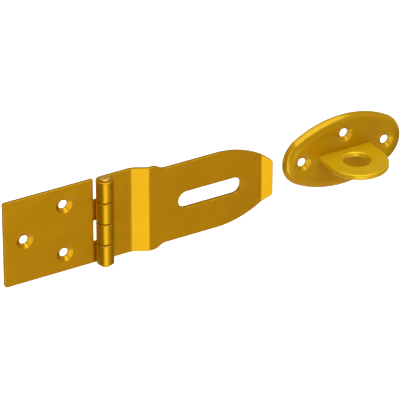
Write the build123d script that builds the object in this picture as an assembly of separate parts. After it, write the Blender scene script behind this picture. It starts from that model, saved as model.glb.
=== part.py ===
from build123d import *
import os
from math import asin, atan2, cos, degrees, radians, tan

# Hasp and staple set for a door, box or gate, in millimetres.
# +X runs along the hasp from the leaf to the tip, +Z is up along the hinge pin, and -Y is out from the wall.
# The origin lies on the mounting plane, midway between the leaf's two hinge-side screw holes.

# Sheet and edges
sheet = 1.8
edge_round = 0.25
width = 40.7

# Hinge
pin_diameter = 4.0
pin_clearance = 0.05
pin_head_diameter = 5.0
pin_head_height = 0.8
pin_head_round = 0.55
pin_tail_diameter = 4.5
pin_tail_height = 1.7
pin_tail_round = 0.9
pin_end_play = 0.1
knuckle_count = 4
knuckle_gap = 0.4
knuckle_round = 0.45
notch_clearance = 0.5
roll_seam = 0.3

# Countersunk screw holes
screw_hole_diameter = 4.0
screw_head_diameter = 7.8
screw_head_angle = 115.0

# Hinge leaf: lengths from the pin axis
leaf_length = 46.9
leaf_corner = 1.0
leaf_pair_from_pin = 18.3
leaf_pair_spacing = 23.5
leaf_end_hole_from_pin = 37.1

# Padlock eye
eye_width = 27.0
eye_thickness = 2.6
eye_straight = 11.4
eye_hole_diameter = 12.0
eye_hole_from_plate = 10.2
eye_edge_round = 0.7
eye_hole_round = 1.0
tenon_width = 16.0
tenon_clearance = 0.05
tenon_head_height = 1.0
tenon_head_spread = 0.7
tenon_head_round = 0.35

# Staple plate
oval_length = 60.0
oval_height = 34.6
oval_end_radius = 12.5
plate_height = 3.2
rim_width = 4.0
rim_slope = 10.0
rim_round = 2.6
rim_crease = 4.0
staple_pair_spacing = 42.4
staple_top_hole_height = 9.0
staple_gap = 8.9

# Hasp strap: lengths from the pin axis
strap_length = 80.8
closing_clearance = 0.2
joggle_start = 14.5
joggle_run = 6.2
joggle_root_bend = 6.0
joggle_arm_bend = 2.0
shoulder_start = 22.7
shoulder_run = 6.4
arm_width = 36.5
slot_centre = 50.6
slot_end_clearance = 2.0
slot_side_clearance = 2.6
taper_start = 53.7
taper_radius = 42.0
tip_corner = 1.6
lip_run = 4.4
lip_rise = 2.1
lip_bend = 2.4

# Worked-out sizes
pin_radius = pin_diameter / 2
bore_radius = pin_radius + pin_clearance
barrel_radius = bore_radius + sheet
pin_x = leaf_pair_from_pin
pin_y = -barrel_radius
pitch = width / knuckle_count
screw_radius = screw_hole_diameter / 2
head_radius = screw_head_diameter / 2
sink_depth = (head_radius - screw_radius) / tan(radians(screw_head_angle / 2))
rim_drop = rim_width * tan(radians(rim_slope))
joggle_rise = plate_height + closing_clearance
slot_length = eye_width + 2 * slot_end_clearance
slot_width = eye_thickness + 2 * slot_side_clearance
staple_x = pin_x + strap_length + staple_gap + oval_length / 2
strap_rows = range(0, knuckle_count, 2)
leaf_rows = range(1, knuckle_count, 2)

wall_up = (Align.CENTER, Align.CENTER, Align.MIN)


def into_wall(x, front, z):
    """A plane on a front face whose normal points at the wall."""
    return Plane(origin=(x, front, z), x_dir=(1, 0, 0), z_dir=(0, 1, 0))


def out_of_wall(x, back, z):
    """A plane facing away from the wall, with its X along the hasp and its Y up."""
    return Plane(origin=(x, back, z), x_dir=(1, 0, 0), z_dir=(0, -1, 0))


def screw_hole(x, z, front):
    """Cutter for one countersunk screw hole through a sheet whose front face is at the given Y."""
    sink = Cone(head_radius, screw_radius, sink_depth, align=wall_up)
    shank = Cylinder(screw_radius, 2 * sheet, align=wall_up)
    return into_wall(x, front, z) * (sink + shank)


def rolled_edge(side):
    """Section of a knuckle rolled from the sheet on the given side (-1 or +1) of the pin, with its seam."""
    ring = Circle(barrel_radius) - Circle(bore_radius)
    reach = 2 * barrel_radius
    seam_y = bore_radius - roll_seam
    opening = Pos(side * reach / 2, seam_y + reach / 2) * Rectangle(reach, reach)
    return ring - opening


def knuckle_windows(rows, low_x, high_x):
    """Cutters that clear the other leaf's knuckles from this one, with the running gap at each end."""
    depth = 4 * barrel_radius
    length = high_x - low_x
    height = pitch + knuckle_gap
    centres = [width / 2 - (row + 0.5) * pitch for row in rows]
    return [Pos((low_x + high_x) / 2, pin_y, z) * Box(length, depth, height) for z in centres]


def round_knuckles(body):
    """Round the outer rims of the knuckles' ends."""
    rims = body.edges().filter_by(GeomType.CIRCLE).filter_by(Plane.XY)
    rims = rims.filter_by(lambda rim: abs(rim.radius - barrel_radius) < edge_round)
    return fillet(rims, knuckle_round)


def round_front(body, radius):
    """Round the edges where the faces that look away from the wall meet the cut sides."""
    front = body.faces().filter_by(lambda face: face.normal_at().Y < -0.3)
    sides = body.faces().filter_by(lambda face: abs(face.normal_at().Y) < 0.001)
    return fillet(front.edges() & sides.edges(), radius)


def hinge_leaf():
    """Flat leaf with two rolled knuckles and three countersunk holes."""
    flat = Pos(-leaf_length / 2, barrel_radius - sheet / 2) * Rectangle(leaf_length, sheet)
    section = Pos(pin_x, pin_y) * (flat + rolled_edge(-1))
    leaf = extrude(section, amount=width / 2, both=True)
    leaf = fillet(leaf.edges().filter_by(Axis.Y).group_by(Axis.X)[0], leaf_corner)
    notch_x = pin_x - barrel_radius - notch_clearance
    leaf -= knuckle_windows(strap_rows, notch_x, pin_x + 2 * barrel_radius)
    leaf = round_front(round_knuckles(leaf), edge_round)
    leaf -= screw_hole(pin_x - leaf_pair_from_pin, leaf_pair_spacing / 2, -sheet)
    leaf -= screw_hole(pin_x - leaf_pair_from_pin, -leaf_pair_spacing / 2, -sheet)
    leaf -= screw_hole(pin_x - leaf_end_hole_from_pin, 0, -sheet)
    return leaf


def strap_section():
    """Side section of the strap: flat root, outward joggle, arm and lifting lip, bent from one sheet."""
    root_y = -sheet / 2
    arm_y = root_y - joggle_rise
    corners = [
        (0, root_y),
        (joggle_start, root_y),
        (joggle_start + joggle_run, arm_y),
        (strap_length - lip_run, arm_y),
        (strap_length + sheet, arm_y - lip_rise * (lip_run + sheet) / lip_run),
    ]
    path = FilletPolyline(*corners, radius=(joggle_root_bend, joggle_arm_bend, lip_bend))
    return trace(path, sheet)


def strap_outline():
    """Face-on outline of the strap, with its shoulders, round-ended slot and tapering tip."""
    half_arm = arm_width / 2
    shoulder_mid = (shoulder_start + shoulder_run / 2, (width + arm_width) / 4)
    shoulder_end = (shoulder_start + shoulder_run, half_arm)
    taper_turn = degrees(asin((strap_length - taper_start) / taper_radius))
    top = Line((-barrel_radius, width / 2), (shoulder_start, width / 2))
    shoulder_out = TangentArc(top @ 1, shoulder_mid, tangent=top % 1)
    shoulder_in = TangentArc(shoulder_mid, shoulder_end, tangent=shoulder_out % 1)
    side = Line(shoulder_in @ 1, (taper_start, half_arm))
    taper = JernArc(side @ 1, side % 1, taper_radius, -taper_turn)
    end = Line(taper @ 1, (strap_length, 0))
    back = Line((-barrel_radius, 0), (-barrel_radius, width / 2))
    upper = make_face([back, top, shoulder_out, shoulder_in, side, taper, end, Line(end @ 1, back @ 0)])
    outline = upper + mirror(upper, Plane.XZ)
    outline = fillet(outline.vertices().group_by(Axis.X)[-1], tip_corner)
    return outline - Pos(slot_centre, 0) * SlotOverall(slot_length, slot_width)


def hasp_strap():
    """Pressed strap: the bent sheet trimmed to its outline, with two rolled knuckles."""
    sheet_body = extrude(Pos(pin_x, 0) * strap_section(), amount=width / 2, both=True)
    stamp = extrude(out_of_wall(pin_x, 0, 0) * strap_outline(), amount=4 * (joggle_rise + sheet), both=True)
    roll = extrude(Pos(pin_x, pin_y) * rolled_edge(1), amount=width / 2, both=True)
    strap = (sheet_body & stamp) + roll
    notch_x = pin_x + barrel_radius + notch_clearance
    strap -= knuckle_windows(leaf_rows, pin_x - 2 * barrel_radius, notch_x)
    return round_front(round_knuckles(strap), edge_round)


def peened_end(diameter, height, rounding):
    """Rounded end of the pin, spread a little by peening."""
    end = Cylinder(diameter / 2, height, align=wall_up)
    return fillet(end.edges().group_by(Axis.Z)[-1], rounding)


def hinge_pin():
    """Plain pin with a low head on top and a longer, lightly peened tail."""
    top = width / 2 + pin_end_play
    shank = Pos(0, 0, -width / 2) * Cylinder(pin_radius, width + pin_end_play, align=wall_up)
    head = peened_end(pin_head_diameter, pin_head_height, pin_head_round)
    tail = peened_end(pin_tail_diameter, pin_tail_height, pin_tail_round)
    return Pos(pin_x, pin_y) * (shank + Pos(0, 0, top) * head + Pos(0, 0, -width / 2) * Rot(180, 0, 0) * tail)


def oval(inset):
    """Face of the plate's four-arc oval, inset evenly from its outline."""
    half_length = oval_length / 2
    half_height = oval_height / 2
    end_centre = half_length - oval_end_radius
    reach = half_length ** 2 - 2 * half_length * oval_end_radius + half_height ** 2
    side_radius = reach / (2 * (half_height - oval_end_radius))
    side_centre = side_radius - half_height
    turn = degrees(atan2(side_centre, end_centre))
    right = CenterArc((end_centre, 0), oval_end_radius - inset, -turn, 2 * turn)
    top = CenterArc((0, -side_centre), side_radius - inset, turn, 180 - 2 * turn)
    return make_face([right, top, mirror(right, Plane.YZ), mirror(top, Plane.XZ)])


def oval_ring(body, height):
    """Edges of a dish that lie at one height above the wall."""
    return body.edges().filter_by(lambda edge: abs(edge.center().Y + height) < edge_round / 10)


def dish(depth):
    """Oval dish with an upright wall, a sloped rim and a flat face, set in by a depth from the front."""
    slope = radians(rim_slope)
    face_height = plate_height - depth
    wall_height = plate_height - rim_drop + depth * tan(slope) - depth / cos(slope)
    crease = rim_width + depth * tan(slope / 2)
    body = extrude(out_of_wall(staple_x, 0, 0) * oval(depth), amount=wall_height)
    foot = out_of_wall(staple_x, -wall_height, 0) * oval(depth)
    face = out_of_wall(staple_x, -face_height, 0) * oval(crease)
    body += loft([foot, face], ruled=True)
    body = fillet(oval_ring(body, wall_height), rim_round - depth)
    return fillet(oval_ring(body, face_height), rim_crease - depth)


def staple_plate():
    """Oval plate pressed to a shallow dish with a sloped, rounded rim, hollow behind, slotted for the eye."""
    slot_x = tenon_width + 2 * tenon_clearance
    slot_z = eye_thickness + 2 * tenon_clearance
    plate = dish(0) - dish(sheet) - Pos(staple_x, -plate_height, 0) * Box(slot_x, 4 * sheet, slot_z)
    for x, z in ((-staple_pair_spacing / 2, 0), (staple_pair_spacing / 2, 0), (0, staple_top_hole_height)):
        plate -= screw_hole(staple_x + x, z, -plate_height)
    return plate


def staple_eye():
    """D-shaped padlock eye with a tenon through the plate, peened over inside the hollow."""
    eye_y = -plate_height - eye_straight
    half = eye_width / 2
    sides = Polyline((-half, eye_y), (-half, -plate_height), (half, -plate_height), (half, eye_y))
    nose = CenterArc((0, eye_y), half, 180, 180)
    tab = extrude(make_face([sides, nose]), amount=eye_thickness / 2, both=True)
    rims = tab.edges().group_by(Axis.Z)
    free = [edge for edge in rims[0] + rims[-1] if edge.center().Y < -plate_height - edge_round]
    tab = fillet(free, eye_edge_round)
    tab -= Pos(0, -plate_height - eye_hole_from_plate, 0) * Cylinder(eye_hole_diameter / 2, 2 * eye_thickness)
    circles = tab.edges().filter_by(GeomType.CIRCLE)
    hole_rims = circles.filter_by(lambda rim: abs(rim.radius - eye_hole_diameter / 2) < edge_round)
    tab = fillet(hole_rims, eye_hole_round)
    tenon = Pos(0, sheet / 2 - plate_height, 0) * Box(tenon_width, sheet, eye_thickness)
    spread = 2 * tenon_head_spread
    head_y = sheet - plate_height + tenon_head_height / 2
    head = Pos(0, head_y, 0) * Box(tenon_width + spread, tenon_head_height, eye_thickness + spread)
    head = fillet(head.edges().group_by(Axis.Y)[-1], tenon_head_round)
    return Pos(staple_x, 0, 0) * (tab + tenon + head)


pieces = {
    "hinge_leaf": hinge_leaf,
    "hasp_strap": hasp_strap,
    "hinge_pin": hinge_pin,
    "staple_plate": staple_plate,
    "staple_eye": staple_eye,
}

os.makedirs("parts", exist_ok=True)
for name, make in pieces.items():
    export_step(make(), f"parts/{name}.step")
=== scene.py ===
from math import cos, radians, sin

import bmesh
import bpy
from mathutils import Matrix, Vector

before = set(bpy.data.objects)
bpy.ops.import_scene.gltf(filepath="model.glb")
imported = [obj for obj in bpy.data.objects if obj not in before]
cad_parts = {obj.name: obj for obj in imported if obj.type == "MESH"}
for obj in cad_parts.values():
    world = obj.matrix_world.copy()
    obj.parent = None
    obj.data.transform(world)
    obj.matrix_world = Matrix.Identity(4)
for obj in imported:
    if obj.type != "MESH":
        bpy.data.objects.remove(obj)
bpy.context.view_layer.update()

# Sizes are in metres and angles in degrees.
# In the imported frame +X goes to the staple, +Z up and -Y out from the surface it is screwed to.

# Camera
camera_azimuth = -30.0
camera_elevation = 30.0
camera_roll = 0.13
camera_distance = 1.550
camera_target = Vector((0.0669, 0.0, -0.0056))
sensor_width = 36.0
photo_pixels = 400
focal_pixels = 3600

# Floor and sky: the sky's strength as a light, and as it is shown
floor_height = -2.60
floor_half = 12.0
floor_paint = (0.85, 0.85, 0.85, 1.0)
sky_paint = (1.0, 1.0, 1.0, 1.0)
sky_light = 0.6
sky_shown = 1.0

# Light tent: a wall with dimmer parts, a window low in front and a softbox overhead
tent_radius = 2.50
tent_centre = Vector((0.070, 0.0, 0.0))
tent_azimuths = (-180.0, 180.0)
tent_elevations = (-90.0, 90.0)
tent_steps = (72, 36)
plain_level = 0.78
ground_level = 1.10
daylight = (0.50, 0.72, 1.00, 1.0)

# Strengths of the wall along the azimuth
ground_wall = ((-180, ground_level), (180, ground_level))
plain_wall = ((-180, plain_level), (180, plain_level))
dim_sides = (
    (-180, plain_level), (-150, plain_level), (-130, 0.60), (-105, 0.35), (-90, 0.22), (-62, 0.22),
    (-48, 0.65), (-40, plain_level), (28, plain_level), (40, 0.62), (50, 0.34), (62, 0.17), (88, 0.17),
    (110, 0.40), (140, 0.65), (180, plain_level),
)
dim_front = (
    (-180, plain_level), (-40, plain_level), (-20, 0.55), (60, 0.55), (80, plain_level), (180, plain_level),
)
dim_back = (
    (-180, 0.40), (-130, 0.40), (-100, plain_level), (90, plain_level), (115, 0.40), (180, 0.40),
)

# Strengths of the window along the azimuth
no_window = ((-180, 0.0), (180, 0.0))
window_left = ((-180, 0.0), (-50, 0.0), (-43, 1.6), (-36, 4.0), (-27, 3.5), (-20, 3.1))
window = window_left + (
    (-12, 4.4), (-4, 4.5), (4, 3.0), (10, 0.9), (16, 0.2), (24, 0.0), (180, 0.0),
)
window_top = window_left + (
    (-12, 3.6), (-4, 1.0), (4, 0.0), (14, 0.0), (18, 4.5), (23, 4.5), (27, 0.0), (180, 0.0),
)
window_side = (
    (-180, 0.0), (-54, 0.0), (-44, 1.4), (-36, 3.0), (-22, 3.0), (-12, 0.0), (180, 0.0),
)

# Elevations between which each row of strengths takes over from the one below
wall_bands = (
    ((-48, -40), dim_sides),
    ((-24, -18), dim_front),
    ((6, 14), dim_back),
    ((50, 58), plain_wall),
)
window_bands = (
    ((-50, -42), window),
    ((-27, -24), window_top),
    ((-19, -15), window_side),
    ((14, 22), no_window),
)

# Softbox: its left and right, its back and front and the blur of both, as shares of its height overhead
softbox_strength = 4.8
softbox_across = (-0.56, 0.64)
softbox_out = (-0.40, 2.60)
softbox_blur = (0.12, 0.80)
softbox_lowest = 0.001

# Plated finishes: linear colours, then the metallic part and the roughness on the faces and on the edges
sheet_finish = {
    "plain": (0.430, 0.180, 0.0010),
    "clouded": (0.410, 0.170, 0.0008),
    # The sheet's darker colour on its edges is partly wear and partly painted shade, which dims the light
    # its edges catch.
    "rubbed_and_shaded": (0.340, 0.155, 0.0020),
    "metallic": (0.72, 0.85),
    "roughness": (0.22, 0.35),
}
plate_finish = {
    "plain": (0.402, 0.180, 0.0006),
    "clouded": (0.384, 0.170, 0.0005),
    "rubbed_and_shaded": (0.440, 0.210, 0.0040),
    "metallic": (0.42, 0.60),
    "roughness": (0.17, 0.30),
}
# The eye's gold is lighter than the sheet's as painted light, standing for the light from overhead on its
# top.
eye_finish_and_painted_light = {
    "plain": (0.515, 0.258, 0.0024),
    "clouded": (0.490, 0.242, 0.0018),
    "rubbed_and_shaded": (0.490, 0.248, 0.0030),
    "metallic": (0.35, 0.45),
    "roughness": (0.25, 0.30),
}
pin_finish = {
    "plain": (0.560, 0.260, 0.038),
    "clouded": (0.480, 0.210, 0.022),
    "rubbed_and_shaded": (0.620, 0.330, 0.060),
    "metallic": (0.65, 0.80),
    "roughness": (0.30, 0.40),
}
gloss_level = 0.16
gloss_tint = (1.0, 0.92, 0.60, 1.0)

# Marks in the plating: noise scales per metre, depths of the bumps and bounds of the masks
cloud_scale = 55.0
cloud_detail = 3.0
cloud_bounds = (0.35, 0.70)
streak_scale = (60.0, 1400.0, 1400.0)
streak_detail = 2.0
streak_gloss = 0.015
pit_scale = 1500.0
pit_detail = 2.0
grain_strength = 0.04
grain_depth = 0.00002
wave_scale = 80.0
wave_detail = 1.0
wave_strength = 1.0
wave_depth = 0.00020
edge_reach = 0.0005
edge_samples = 4
edge_bounds = (0.86, 0.99)


def outward(azimuth, elevation):
    """Unit vector from the object towards a place in the studio."""
    a, e = radians(azimuth), radians(elevation)
    return Vector((sin(a) * cos(e), -cos(a) * cos(e), sin(e)))


# Node helpers

def new_material(name):
    """A node material with only its output, and its node tree."""
    material = bpy.data.materials.new(name)
    material.use_nodes = True
    tree = material.node_tree
    tree.nodes.clear()
    output = tree.nodes.new("ShaderNodeOutputMaterial")
    return material, tree, output


def add(tree, kind, inputs=None, **settings):
    """A new node with its settings, and its sockets set or linked."""
    node = tree.nodes.new(kind)
    for key, value in settings.items():
        setattr(node, key, value)
    for key, value in (inputs or {}).items():
        socket = node.inputs[key]
        if isinstance(value, bpy.types.NodeSocket):
            tree.links.new(value, socket)
        else:
            socket.default_value = value
    return node


def ramp(tree, factor, stops):
    """A colour ramp with grey stops given as (place, value)."""
    node = add(tree, "ShaderNodeValToRGB", {"Fac": factor})
    marks = node.color_ramp.elements
    places, values = zip(*stops)
    marks[0].position = places[0]
    marks[-1].position = places[-1]
    for place in places[1:-1]:
        marks.new(place)
    for mark, value in zip(marks, values):
        mark.color = (value, value, value, 1.0)
    return node.outputs["Color"]


def blend(tree, factor, first, second):
    """A mix of two colours, each an RGB triple or a socket."""
    node = add(tree, "ShaderNodeMix", {"Factor": factor}, data_type="RGBA")
    for place, value in (("A", first), ("B", second)):
        socket = next(s for s in node.inputs if s.name == place and s.type == "RGBA")
        if isinstance(value, bpy.types.NodeSocket):
            tree.links.new(value, socket)
        else:
            socket.default_value = (*value, 1.0)
    return next(s for s in node.outputs if s.type == "RGBA")


def calc(tree, operation, first, second):
    """The result of a Math node on two values or sockets."""
    return add(tree, "ShaderNodeMath", {0: first, 1: second}, operation=operation).outputs[0]


def spread(tree, value, low, high):
    """A value from 0 to 1, spread between two others."""
    node = add(tree, "ShaderNodeMapRange", {"Value": value, "To Min": low, "To Max": high})
    return node.outputs[0]


def noise(tree, place, scale, detail):
    """Smooth random values over the surface."""
    node = add(tree, "ShaderNodeTexNoise", {"Vector": place, "Scale": scale, "Detail": detail})
    return node.outputs["Fac"]


def shown_rays(tree):
    """1 for the rays by which the background is seen, directly, in metal or through glass."""
    rays = add(tree, "ShaderNodeLightPath").outputs
    seen = calc(tree, "MAXIMUM", rays["Is Camera Ray"], rays["Is Glossy Ray"])
    return calc(tree, "MAXIMUM", seen, rays["Is Transmission Ray"])


# Plating

def tight_edges(tree):
    """1 on tight edges, where a bevel would turn the surface, and 0 on faces and wide roundings."""
    turned = add(tree, "ShaderNodeBevel", {"Radius": edge_reach}, samples=edge_samples).outputs[0]
    facing = add(tree, "ShaderNodeNewGeometry").outputs["Normal"]
    alike = add(tree, "ShaderNodeVectorMath", {0: turned, 1: facing}, operation="DOT_PRODUCT")
    turned_far, turned_little = edge_bounds
    return ramp(tree, alike.outputs["Value"], ((turned_far, 1.0), (turned_little, 0.0)))


def plating_colour(tree, place, edges, finish):
    """Faintly clouded colour, with another on tight edges: rubbed wear, and on the sheet a darker tone that
    is painted shade.
    """
    clouds = noise(tree, place, cloud_scale, cloud_detail)
    clear, full = cloud_bounds
    mask = ramp(tree, clouds, ((clear, 0.0), (full, 1.0)))
    colour = blend(tree, mask, finish["plain"], finish["clouded"])
    return blend(tree, edges, colour, finish["rubbed_and_shaded"])


def plating_roughness(tree, streaks, edges, finish):
    """Roughness with rolling marks, and another level on the rubbed edges."""
    face, edge = finish["roughness"]
    marked = spread(tree, streaks, face - streak_gloss, face + streak_gloss)
    return calc(tree, "ADD", marked, calc(tree, "MULTIPLY", edges, edge - face))


def plating_normal(tree, place, streaks):
    """Slight waves of the pressed sheet under a fine grain of rolling marks and pits."""
    waves = noise(tree, place, wave_scale, wave_detail)
    wavy = add(
        tree, "ShaderNodeBump", {"Height": waves, "Strength": wave_strength, "Distance": wave_depth}
    )
    grain = calc(tree, "ADD", streaks, noise(tree, place, pit_scale, pit_detail))
    rough = add(
        tree, "ShaderNodeBump",
        {
            "Height": grain,
            "Strength": grain_strength,
            "Distance": grain_depth,
            "Normal": wavy.outputs[0],
        },
    )
    return rough.outputs[0]


def plated_metal(name, finish):
    """Bright plating over pressed sheet, with its clouds, rolling marks, pits, waves and rubbed edges,
    whose darker colour on the sheet is painted shade.
    """
    material, tree, output = new_material(name)
    place = add(tree, "ShaderNodeTexCoord").outputs["Object"]
    along = add(tree, "ShaderNodeMapping", {"Vector": place, "Scale": streak_scale}).outputs[0]
    streaks = noise(tree, along, 1.0, streak_detail)
    edges = tight_edges(tree)
    face_metal, edge_metal = finish["metallic"]
    shader = add(
        tree, "ShaderNodeBsdfPrincipled",
        {
            "Base Color": plating_colour(tree, place, edges, finish),
            "Metallic": spread(tree, edges, face_metal, edge_metal),
            "Specular IOR Level": gloss_level,
            "Specular Tint": gloss_tint,
            "Roughness": plating_roughness(tree, streaks, edges, finish),
            "Normal": plating_normal(tree, place, streaks),
        },
    )
    tree.links.new(shader.outputs[0], output.inputs["Surface"])
    return material


# Studio materials

def floor_material():
    """Floor that shows as pure white, and is white paint to the light that falls on it."""
    material, tree, output = new_material("studio_floor")
    paint = add(tree, "ShaderNodeBsdfDiffuse", {"Color": floor_paint})
    glow = add(tree, "ShaderNodeEmission", {"Strength": shown_rays(tree)})
    both = add(tree, "ShaderNodeAddShader", {0: paint.outputs[0], 1: glow.outputs[0]})
    tree.links.new(both.outputs[0], output.inputs["Surface"])
    return material


def azimuth_profile(tree, across, profile):
    """Strength of the tent wall along its azimuth, from (azimuth, strength) pairs."""
    low, high = tent_azimuths
    azimuths, strengths = zip(*profile)
    peak = max(strengths) or 1.0
    places = [(azimuth - low) / (high - low) for azimuth in azimuths]
    shares = [strength / peak for strength in strengths]
    return calc(tree, "MULTIPLY", ramp(tree, across, list(zip(places, shares))), peak)


def elevation_step(tree, height, edge):
    """0 below an edge between two elevations of the tent wall and 1 above it."""
    bottom, top = tent_elevations
    low, high = [(elevation - bottom) / (top - bottom) for elevation in edge]
    return ramp(tree, height, ((low, 0.0), (high, 1.0)))


def banded(tree, across, height, ground, bands):
    """Strength of one light over the tent wall, with its bands mixed from the floor up."""
    strength = azimuth_profile(tree, across, ground)
    for edge, profile in bands:
        above = azimuth_profile(tree, across, profile)
        step = elevation_step(tree, height, edge)
        mixed = add(tree, "ShaderNodeMix", {"Factor": step, "A": strength, "B": above}, data_type="FLOAT")
        strength = mixed.outputs[0]
    return strength


def between(tree, value, edges, blur):
    """1 between two edges of a value and 0 outside them, blurred at both."""
    low, high = edges
    sides = []
    for outer, inner in ((low - blur, low + blur), (high + blur, high - blur)):
        side = add(
            tree, "ShaderNodeMapRange", {"Value": value, "From Min": outer, "From Max": inner},
            interpolation_type="SMOOTHSTEP",
        )
        sides.append(side.outputs[0])
    return calc(tree, "MULTIPLY", *sides)


def softbox(tree):
    """Strength of the softbox overhead, as seen from the object."""
    place = add(tree, "ShaderNodeTexCoord").outputs["Object"]
    split = add(tree, "ShaderNodeSeparateXYZ", {"Vector": place})
    height = calc(tree, "MAXIMUM", split.outputs["Z"], softbox_lowest)
    across = calc(tree, "DIVIDE", split.outputs["X"], height)
    back = calc(tree, "DIVIDE", split.outputs["Y"], height)
    out = calc(tree, "MULTIPLY", back, -1.0)
    side_blur, front_blur = softbox_blur
    sides = between(tree, across, softbox_across, side_blur)
    ends = between(tree, out, softbox_out, front_blur)
    return calc(tree, "MULTIPLY", calc(tree, "MULTIPLY", sides, ends), softbox_strength)


def tent_material():
    """Light tent: a white wall, and daylight through its window and its softbox."""
    material, tree, output = new_material("studio_tent")
    place = add(tree, "ShaderNodeUVMap")
    split = add(tree, "ShaderNodeSeparateXYZ", {"Vector": place.outputs[0]})
    across, height = split.outputs["X"], split.outputs["Y"]
    wall = banded(tree, across, height, ground_wall, wall_bands)
    day = calc(tree, "ADD", banded(tree, across, height, no_window, window_bands), softbox(tree))
    wall_glow = add(tree, "ShaderNodeEmission", {"Strength": wall})
    day_glow = add(tree, "ShaderNodeEmission", {"Color": daylight, "Strength": day})
    both = add(tree, "ShaderNodeAddShader", {0: wall_glow.outputs[0], 1: day_glow.outputs[0]})
    tree.links.new(both.outputs[0], output.inputs["Surface"])
    return material


# Studio

def make_floor():
    """Wide white floor, far below the object."""
    mesh = bpy.data.meshes.new("studio_floor")
    corners = [(-1, -1), (1, -1), (1, 1), (-1, 1)]
    points = [(x * floor_half, y * floor_half, floor_height) for x, y in corners]
    mesh.from_pydata(points, [], [(0, 1, 2, 3)])
    floor = bpy.data.objects.new("studio_floor", mesh)
    bpy.context.scene.collection.objects.link(floor)
    mesh.materials.append(floor_material())


def tent_point(u, v):
    """Place on the tent, from its shares of the azimuths and the elevations."""
    low, high = tent_azimuths
    bottom, top = tent_elevations
    return outward(low + u * (high - low), bottom + v * (top - bottom)) * tent_radius


def tent_mesh():
    """Sphere of quads with a UV map along the azimuth and up the elevation."""
    across, up = tent_steps
    shape = bmesh.new()
    uv = shape.loops.layers.uv.new("UVMap")
    shares = [[(i / across, j / up) for i in range(across + 1)] for j in range(up + 1)]
    points = [[shape.verts.new(tent_point(u, v)) for u, v in row] for row in shares]
    for j in range(up):
        for i in range(across):
            ring = ((j, i), (j, i + 1), (j + 1, i + 1), (j + 1, i))
            face = shape.faces.new([points[row][column] for row, column in ring])
            for loop, (row, column) in zip(face.loops, ring):
                loop[uv].uv = shares[row][column]
    mesh = bpy.data.meshes.new("studio_tent")
    shape.to_mesh(mesh)
    shape.free()
    return mesh


def make_tent():
    """Light tent all round the object, which shows only in its reflections."""
    mesh = tent_mesh()
    tent = bpy.data.objects.new("studio_tent", mesh)
    tent.location = tent_centre
    bpy.context.scene.collection.objects.link(tent)
    mesh.materials.append(tent_material())
    tent.visible_camera = False
    tent.visible_shadow = False


def make_world():
    """White sky, dimmer as a light than it is shown."""
    world = bpy.data.worlds.new("studio_world")
    bpy.context.scene.world = world
    world.use_nodes = True
    tree = world.node_tree
    tree.nodes.clear()
    output = tree.nodes.new("ShaderNodeOutputWorld")
    level = spread(tree, shown_rays(tree), sky_light, sky_shown)
    sky = add(tree, "ShaderNodeBackground", {"Color": sky_paint, "Strength": level})
    tree.links.new(sky.outputs[0], output.inputs["Surface"])


def make_camera():
    """Camera that stands as the photo's did."""
    data = bpy.data.cameras.new("camera")
    data.sensor_width = sensor_width
    data.lens = focal_pixels * sensor_width / photo_pixels
    camera = bpy.data.objects.new("camera", data)
    bpy.context.scene.collection.objects.link(camera)
    back = outward(camera_azimuth, camera_elevation)
    facing = (-back).to_track_quat("-Z", "Y").to_matrix().to_4x4()
    place = Matrix.Translation(camera_target + back * camera_distance)
    camera.matrix_world = place @ facing @ Matrix.Rotation(radians(camera_roll), 4, "Z")
    bpy.context.scene.camera = camera


# Object

def dress_nodes():
    """Plating on every CAD node: the sheet's own on the leaf and the strap."""
    sheet = plated_metal("plated_sheet", sheet_finish)
    others = {
        "staple_plate": plated_metal("plated_plate", plate_finish),
        "staple_eye": plated_metal("plated_eye", eye_finish_and_painted_light),
        "hinge_pin": plated_metal("plated_pin", pin_finish),
    }
    for name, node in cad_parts.items():
        node.data.materials.clear()
        node.data.materials.append(others.get(name, sheet))


bpy.context.scene.view_settings.view_transform = "Standard"
make_camera()
make_world()
make_floor()
make_tent()
dress_nodes()
